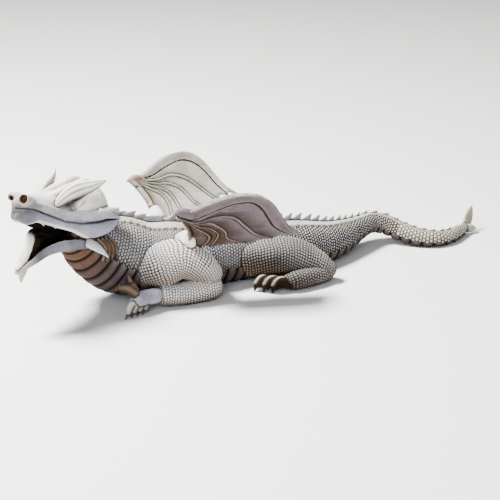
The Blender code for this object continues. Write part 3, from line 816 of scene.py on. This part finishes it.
def paint_head(skin):
    """Lavender lips and cheeks that pale upwards, the groove along the cheek, the frill and the gills."""
    kinds, tint, lit, wash_and_shade = skin.kinds, skin.tint, skin.lit, skin.wash_and_shade
    local = skin.local
    head = np.isin(kinds, ("head", "nose", "eye", "jaw", "leaf", "frill"))
    above = step(4, 24, local[:, 2] - height_of(CHEEK_GROOVE[::-1], local[:, 0]))[head]
    snout = blend(plain(LAVENDER, head.sum()), PLUM, 0.5 * step(60, 95, local[head, 0]))
    tint[head] = blend(snout, WHITE, above)
    lit[head] = 0.3 + 0.8 * above
    # Painted shade: the gullet that fills the mouth is black.
    tint[kinds == "gullet"] = BLACK
    tint[kinds == "gill"] = UMBER
    lit[kinds == "gill"] = 0.3
    tint[kinds == "frill"] = blend(np.array([LAVENDER]), WHITE, 0.45)
    lit[kinds == "frill"] = 0.45
    jaw_only = kinds == "jaw"
    tint[jaw_only] = blend(tint[jaw_only], BROWN, 0.35 + 0.5 * step(-4, -22, local[jaw_only, 2]))
    tint[jaw_only] = blend(tint[jaw_only], PALE, 0.7 * step(80, 100, local[jaw_only, 0]))
    groove = head & (np.abs(local[:, 1]) > 3)
    gap = line_gap(local[groove][:, (0, 2)], CHEEK_GROOVE)
    skin.relief[groove] -= CHEEK_GROOVE_DEPTH * np.exp(-((gap / 1.3) ** 2))
    wash_and_shade[groove] = np.maximum(wash_and_shade[groove], np.exp(-((gap / 1.4) ** 2)))
    top, floor = height_of(UPPER_LIP[::-1], local[:, 0]), height_of(LOWER_LIP, local[:, 0])
    for edge, wide in ((top, 2.5), (floor + 1, 2.0)):
        lip = head & (local[:, 0] > 4) & (np.abs(local[:, 2] - edge) < wide + 1)
        rim = step(wide + 1, wide - 1, np.abs(local[lip, 2] - edge[lip]))
        tint[lip] = blend(tint[lip], WHITE, 0.8 * rim)


def paint_mouth(skin):
    """A mouth painted black inside as its shade, a tongue black back in the mouth as shade and cream at its
    front strip, and yellowed teeth. Gives what lies inside the mouth.
    """
    kinds, tint, lit, local = skin.kinds, skin.tint, skin.lit, skin.local
    top, floor = height_of(UPPER_LIP[::-1], local[:, 0]), height_of(LOWER_LIP, local[:, 0])
    mouth = (local[:, 0] > -8) & (local[:, 0] < 106)
    mouth &= np.abs(local[:, 1]) < height_of(LIP_HALF_WIDTH, local[:, 0]) - LIP_THICKNESS
    mouth &= (local[:, 2] < top + 8) & (local[:, 2] > floor - 9)
    mouth &= (local[:, 2] > floor - 3) | (skin.normals[:, 2] > 0)
    mouth &= ~np.isin(kinds, ("tongue", "tooth"))
    # Painted shade: the inside of the mouth is black.
    tint[mouth] = BLACK
    skin.relief[mouth] = 0
    tongue = kinds == "tongue"
    # Painted shade: the tongue is black back in the mouth and cream only at its front strip.
    strip = step(81, 86, local[tongue, 0])
    tint[tongue] = blend(plain(BLACK, tongue.sum()), CREAM, strip)
    lit[tongue] = strip
    # Painted shade inside the mouth, a little lighter brown at the front of the gullet floor.
    tint[(kinds == "gullet") & (local[:, 0] > 72) & (local[:, 2] < 12)] = BROWN
    tint[kinds == "tooth"] = TOOTH
    return mouth | (kinds == "gullet")


def paint_eyes(skin):
    """A grey eye with an upright black pupil, which runs on as a white fold under the brow leaf."""
    eye = skin.kinds == "eye"
    forward = skin.local[eye, 0]
    iris = blend(plain(SLATE, eye.sum()), BLACK, step(2.6, 1.2, np.abs(forward - PUPIL_FORWARD)))
    fold = step(24, 17, forward)
    skin.tint[eye] = blend(iris, WHITE, fold)
    skin.lit[eye] = 0.2 + 0.8 * fold


def paint_ends(skin):
    """Wing roots and wrists, cuffs, fins, and the hands and feet."""
    points, normals, kinds, tint, lit = skin.points, skin.normals, skin.kinds, skin.tint, skin.lit
    for name, colour, share in (("root", CREAM, 1), ("wrist", CREAM, 0.8), ("cuff", LAVENDER, 0.5),
                                ("digit", PALE, 1), ("claw", PALE, 1), ("crest", LAVENDER, 1.1),
                                ("fin", OLIVE, 1)):
        tint[kinds == name] = colour
        lit[kinds == name] = share
    wrist = kinds == "wrist"
    # Painted shade: the wrist on the near, shaded side is mauve and the far one pink.
    tint[wrist] = np.where(points[wrist, 1:2] > 0, PINK, MAUVE)
    lit[wrist] = 0.4
    toes = np.isin(kinds, ("digit", "claw")) & (points[:, 0] > -100)
    ridge = np.min([np.abs(np.abs(points[toes, 1]) - TOE_OUT - i * TOE_PITCH) for i in range(3)], axis=0)
    # Painted highlight: a pale stripe down the upper middle of each dark brown toe.
    toe_highlight = 0.75 * step(3.2, 0.8, ridge) * step(0.1, 0.7, normals[toes, 2]) * step(8, 15, points[toes, 2])
    tint[toes] = blend(plain(BROWN, toes.sum()), PALE, toe_highlight)
    lit[toes] = 0.7 * toe_highlight
    palm = np.isin(kinds, ("digit", "claw")) & (points[:, 0] < -180)
    tint[palm] = blend(tint[palm], RUST, 0.85 * step(24, 34, points[palm, 2]))
    # Painted shade: faces of the hand turned down are blended to brown.
    tint[palm] = blend(tint[palm], BROWN, 0.9 * step(0.55, -0.25, normals[palm, 2]))
    lit[palm] = 0.8 * step(0.5, 1.0, normals[palm, 2]) * step(34, 24, points[palm, 2])


def drill_nostrils(skin):
    """Two hollows in the nose bulbs, painted black inside as their shade, with a pink rim."""
    nostril = np.zeros(len(skin.points))
    for hand in (1, -1):
        start = head_place(97, hand * 11, 75 + 2.5 * hand)
        aim = unit(head_place(119, 4 + hand * 13, 81 + 3 * hand) - start)
        off = skin.points - start
        far = np.linalg.norm(off - (off @ aim)[:, None] * aim, axis=1)
        mask = (skin.kinds == "nose") & (off @ aim > -2)
        rim = 0.9 * step(12.0, 7.5, far[mask])
        skin.tint[mask] = blend(skin.tint[mask], PINK, rim)
        skin.lit[mask] *= 1 - rim
        deep = np.where(mask, step(7.4, 5.0, far), 0)
        skin.points = skin.points - aim * (NOSTRIL_DEPTH * deep)[:, None]
        nostril = np.maximum(nostril, deep)
    # Painted shade: the deep part of each nostril is black.
    skin.tint = blend(skin.tint, BLACK, step(0.2, 0.8, nostril))


def weather(skin, tree, inside):
    """Raises the relief, creases the seams, and works out the dark wash in seams and hollows, the painted shade
    in shut-in places, and the pale wear with painted highlight on faces turned up.
    """
    normals, edges = skin.normals, skin.edges
    # Painted light: faces turned up get less dark wash, more highlight and fainter scale grooves, as if lit
    # from above.
    wear_and_top_light = step(0.1, 0.9, normals[:, 2])
    wash_and_shade = skin.wash_and_shade * (1 - 0.25 * wear_and_top_light)
    families = np.select([skin.kinds == name for name in APART], range(1, len(APART) + 1), 0)
    seam = families[edges[:, 0]] != families[edges[:, 1]]
    crease = np.zeros(len(skin.points))
    crease[edges[seam].ravel()] = 1
    crease = step(0.1, 0.6, spread(crease[:, None], edges, 2)[:, 0])
    wash_and_shade = np.maximum(wash_and_shade, 0.9 * crease)
    points = skin.points + normals * (skin.relief - CREASE_DEPTH * crease)[:, None]
    skin.tint = spread(skin.tint, edges, 1)
    fine = ((spread(points, edges, 3) - points) * normals).sum(axis=1)
    broad = ((spread(points, edges, 26) - points) * normals).sum(axis=1)
    smooth_skin = 1 - np.minimum(skin.scaly, 1)
    wash_and_shade = np.maximum(wash_and_shade, smooth_skin * step(0.02, 0.20, fine))
    wash_and_shade = np.maximum(wash_and_shade, step(0.15, 0.8, broad))
    # Painted shade: places shut in by other parts or close to the ground are darkened.
    shut = spread(shelter(tree, points, normals)[:, None], edges, 12)[:, 0]
    wash_and_shade = 1 - (1 - wash_and_shade) * (1 - 0.9 * step(0.25, 0.80, shut))
    # Pale wear on ridges and scale tops, strengthened as painted highlight on faces turned up and by each
    # region's lit share.
    bare = step(0.0, 0.25, -fine) * 0.7 * smooth_skin + step(0.2, 1.0, -broad) * 0.3 + 0.5 * skin.scaly
    bare = bare * (0.5 + 0.5 * wear_and_top_light) * skin.lit
    bare[inside] = 0
    wash_and_shade[inside] = 0
    skin.wash_and_shade = wash_and_shade
    skin.bare = np.clip(bare, 0, 1)
    skin.scaly = skin.scaly * (1 - 0.1 * wear_and_top_light)
    points[:, 2] = np.maximum(points[:, 2], 0)
    skin.points = np.clip(points * MM, cad_box[0], cad_box[1])


def keep_layers(dense, skin):
    """Moves the dense mesh to the skin's points and keeps what the shader needs as attributes."""
    dense.vertices.foreach_set("co", skin.points.astype(np.float32).ravel())
    alpha = np.ones((len(skin.tint), 1))
    for name, kind, key, values in (
        ("wash_and_shade", "FLOAT", "value", skin.wash_and_shade),
        ("bare", "FLOAT", "value", skin.bare),
        ("scaly", "FLOAT", "value", skin.scaly),
        ("ribbed", "FLOAT", "value", skin.ribbed),
        ("scale_place", "FLOAT_VECTOR", "vector", skin.columns[:, :3]),
        ("scale_form", "FLOAT_VECTOR", "vector", skin.columns[:, 3:]),
        ("tint", "FLOAT_COLOR", "color", np.concatenate([skin.tint, alpha], axis=1)),
    ):
        layer = dense.attributes.new(name, kind, "POINT")
        layer.data.foreach_set(key, values.astype(np.float32).ravel())


def casting(dense):
    """The piece itself, thinned to its number of triangles and kept within the solid's box."""
    body = bpy.data.objects.new("dragon_casting", dense)
    bpy.context.scene.collection.objects.link(body)
    fewer = body.modifiers.new("fewer", "DECIMATE")
    fewer.ratio = min(1.0, TRIANGLES / (2 * len(dense.polygons)))
    body.data = evaluated(body)
    body.modifiers.clear()
    places = np.clip(column(body.data.vertices, "co", 3), cad_box[0], cad_box[1])
    body.data.vertices.foreach_set("co", places.astype(np.float32).ravel())
    body.data.shade_smooth()
    return body


def carve():
    """The whole figure in one skin, with its relief, its colours, its dark wash and its painted shade and
    highlight.
    """
    dense, tree = fused_clay()
    skin = blank_skin(dense, tree)
    painters = {"limb": paint_limb, "trunk": paint_trunk, "leaf": paint_leaf, "wing": paint_wing}
    for index, stroke in enumerate(strokes):
        here = np.flatnonzero(skin.which == index)
        if len(here) and stroke["kind"] in painters:
            painters[stroke["kind"]](skin, here, stroke)
    skin.local = head_coordinates(skin.points)
    paint_head(skin)
    inside = paint_mouth(skin)
    paint_eyes(skin)
    paint_ends(skin)
    drill_nostrils(skin)
    weather(skin, tree, inside)
    keep_layers(dense, skin)
    return casting(dense)


def node(tree, kind, **settings):
    """A new shader node with its settings."""
    made = tree.nodes.new(kind)
    for name, value in settings.items():
        setattr(made, name, value)
    return made


def stone():
    """Aged casting stone: tinted pale grey, with dark umber in the hollows together with painted shade, and
    pale wear on the ridges together with painted highlight.
    """
    material = bpy.data.materials.new("aged_stone")
    material.use_nodes = True
    tree = material.node_tree
    link = tree.links.new
    surface = tree.nodes["Principled BSDF"]
    place = node(tree, "ShaderNodeTexCoord")
    colour = node(tree, "ShaderNodeAttribute", attribute_name="tint")
    wash_and_shade = node(tree, "ShaderNodeAttribute", attribute_name="wash_and_shade")
    bare = node(tree, "ShaderNodeAttribute", attribute_name="bare")
    scaly = node(tree, "ShaderNodeAttribute", attribute_name="scaly")
    ribbed = node(tree, "ShaderNodeAttribute", attribute_name="ribbed")

    def noise(scale, detail):
        made = node(tree, "ShaderNodeTexNoise")
        made.inputs["Scale"].default_value = scale
        made.inputs["Detail"].default_value = detail
        link(place.outputs["Object"], made.inputs["Vector"])
        return made.outputs["Fac"]

    def ramp(value, low, high, start, end):
        made = node(tree, "ShaderNodeMapRange", interpolation_type="SMOOTHSTEP")
        for name, number in (("From Min", low), ("From Max", high), ("To Min", start), ("To Max", end)):
            made.inputs[name].default_value = number
        link(value, made.inputs["Value"])
        return made.outputs["Result"]

    def calc(operation, *terms):
        made = node(tree, "ShaderNodeMath", operation=operation)
        for socket, term in zip(made.inputs, terms):
            if isinstance(term, (int, float)):
                socket.default_value = term
            else:
                link(term, socket)
        return made.outputs["Value"]

    def split(name):
        parts = node(tree, "ShaderNodeSeparateXYZ")
        link(node(tree, "ShaderNodeAttribute", attribute_name=name).outputs["Vector"], parts.inputs["Vector"])
        return parts.outputs

    def wall(off, power):
        return calc("SUBTRACT", 1, calc("POWER", calc("ABSOLUTE", calc("MULTIPLY", off, 2)), power))

    def mix(share, one, other, how="MIX"):
        made = node(tree, "ShaderNodeMix", data_type="RGBA", blend_type=how)
        link(share, made.inputs["Factor"])
        link(one, made.inputs["A"])
        if isinstance(other, tuple):
            made.inputs["B"].default_value = (*other, 1)
        else:
            link(other, made.inputs["B"])
        return made.outputs["Result"]

    patches = noise(38, 3)
    grain = noise(420, 4)
    pits = noise(1500, 2)

    row, turn, count = split("scale_place")
    slope, slant, power = split("scale_form")
    u = calc("SUBTRACT", calc("FRACT", row), 0.5)
    odd = calc("FLOORED_MODULO", calc("FLOOR", row), 2)
    fitted = calc("ROUND", calc("SUBTRACT", count, calc("MULTIPLY", slope, u)))
    lean = calc("MULTIPLY", calc("MULTIPLY", slant, u), calc("MULTIPLY_ADD", odd, 2, -1))
    v = calc("ADD", calc("MULTIPLY", turn, fitted), calc("MULTIPLY_ADD", odd, 0.5, lean))
    v = calc("SUBTRACT", calc("FRACT", v), 0.5)
    height = calc("SQRT", calc("MAXIMUM", calc("MULTIPLY", wall(u, power), wall(v, power)), 0))
    on_scales = calc("MULTIPLY", scaly.outputs["Fac"], ramp(patches, 0.30, 0.70, 1.0, 0.75))
    groove = calc("MULTIPLY", ramp(height, 0.42, 0.98, 1, 0), on_scales)

    rib = calc("ROUND", row)
    away = calc("MULTIPLY", calc("ABSOLUTE", calc("SUBTRACT", row, rib)), turn)
    line = calc("MAXIMUM", calc("COMPARE", rib, 1, 0.1), calc("COMPARE", rib, 8, 1.1))
    line = calc("MULTIPLY", line, ramp(away, 0.7, 1.9, 1, 0))
    edges = ramp(calc("ABSOLUTE", calc("SUBTRACT", away, 2.9)), 0.3, 1.3, 0.9, 0)
    edges = calc("MULTIPLY", calc("COMPARE", rib, 3.5, 1.6), edges)
    vein = calc("MULTIPLY", calc("MAXIMUM", line, edges), ribbed.outputs["Fac"])
    paint = mix(ramp(patches, 0.38, 0.66, 0.0, 0.55), colour.outputs["Color"], (0.55, 0.48, 0.36), "MULTIPLY")
    paint = mix(ramp(grain, 0.50, 0.70, 0.0, 0.50), paint, (0.42, 0.36, 0.30), "MULTIPLY")
    # Pale wear on ridges and scale tops, together with painted highlight.
    wear_and_top_light = calc("MULTIPLY", bare.outputs["Fac"], ramp(grain, 0.30, 0.60, 0.45, 0.75))
    wear_and_top_light = calc("MULTIPLY", wear_and_top_light, calc("MULTIPLY_ADD", calc("SUBTRACT", ramp(height, 0.7, 1, 0, 1), 1),
                                       scaly.outputs["Fac"], 1))
    paint = mix(wear_and_top_light, paint, (0.82, 0.81, 0.77))
    # Dark wash in hollows and scale grooves, together with painted shade.
    dark = calc("MAXIMUM", calc("MULTIPLY", wash_and_shade.outputs["Fac"], ramp(patches, 0.30, 0.70, 1.0, 0.85)),
                calc("MAXIMUM", groove, vein))
    paint = mix(dark, paint, (0.012, 0.008, 0.005))
    link(paint, surface.inputs["Base Color"])
    link(ramp(patches, 0.3, 0.7, 0.68, 0.85), surface.inputs["Roughness"])
    surface.inputs["Specular IOR Level"].default_value = 0.03
    bump = node(tree, "ShaderNodeBump")
    bump.inputs["Strength"].default_value = 0.5
    bump.inputs["Distance"].default_value = 0.001
    domes = calc("MULTIPLY", height, scaly.outputs["Fac"])
    link(calc("MULTIPLY_ADD", pits, 0.15, domes), bump.inputs["Height"])
    link(bump.outputs["Normal"], surface.inputs["Normal"])
    return material


def stand(x, y, z, place):
    """A matrix that holds a camera or a lamp at a place, with its own axes."""
    rows = np.stack([x, y, z], axis=1)
    return Matrix([[*row, p] for row, p in zip(rows, place)] + [[0, 0, 0, 1]])


def camera():
    """The photograph's viewing angle: from the left and ahead, a little above."""
    azimuth, elevation, far, lens, sensor = math.radians(-27), math.radians(21), 2.0, 90.0, 36.0
    middle, origin, width = 250, (241, 275), 500
    back = np.array((math.sin(azimuth) * math.cos(elevation), -math.cos(azimuth) * math.cos(elevation),
                     math.sin(elevation)))
    right = np.array((math.cos(azimuth), math.sin(azimuth), 0.0))
    up = np.cross(back, right)
    pixels = lens / sensor * width
    place = far * (back - (origin[0] - middle) / pixels * right + (origin[1] - middle) / pixels * up)
    data = bpy.data.cameras.new("camera")
    data.lens = lens
    data.sensor_width = sensor
    body = bpy.data.objects.new("camera", data)
    body.matrix_world = stand(right, up, back, place)
    bpy.context.scene.collection.objects.link(body)
    bpy.context.scene.camera = body


def lamp(name, place, size, power, colour):
    """A square soft light aimed at the dragon."""
    data = bpy.data.lights.new(name, "AREA")
    data.shape = "SQUARE"
    data.size = size
    data.energy = power
    data.color = colour
    body = bpy.data.objects.new(name, data)
    z = unit(np.array(place, float) - (0, 0, 0.08))
    x = unit(np.cross((0, 0, 1), z))
    y = np.cross(z, x)
    body.matrix_world = stand(x, y, z, place)
    bpy.context.scene.collection.objects.link(body)


def studio():
    """A plain pale floor and soft light, strongest from behind on the left."""
    bm = bmesh.new()
    bmesh.ops.create_grid(bm, x_segments=1, y_segments=1, size=12)
    mesh = bpy.data.meshes.new("floor")
    bm.to_mesh(mesh)
    bm.free()
    floor = bpy.data.objects.new("floor", mesh)
    floor.location.z = -0.0005
    bpy.context.scene.collection.objects.link(floor)
    material = bpy.data.materials.new("pale_floor")
    material.use_nodes = True
    surface = material.node_tree.nodes["Principled BSDF"]
    surface.inputs["Base Color"].default_value = (0.88, 0.88, 0.88, 1)
    surface.inputs["Roughness"].default_value = 0.9
    mesh.materials.append(material)
    world = bpy.data.worlds.new("studio")
    world.use_nodes = True
    sky = world.node_tree.nodes["Background"]
    sky.inputs["Color"].default_value = (0.95, 0.97, 1.0, 1)
    sky.inputs["Strength"].default_value = 0.24
    bpy.context.scene.world = world
    lamp("key", (-1.2, 0.5, 2.4), 0.7, 400, (1.0, 0.98, 0.94))
    lamp("fill", (-1.5, -2.0, 1.5), 1.4, 40, (0.94, 0.96, 1.0))


camera()
studio()
dragon = carve()
dragon.data.materials.clear()
dragon.data.materials.append(stone())
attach(dragon, "root")
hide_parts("dragon")
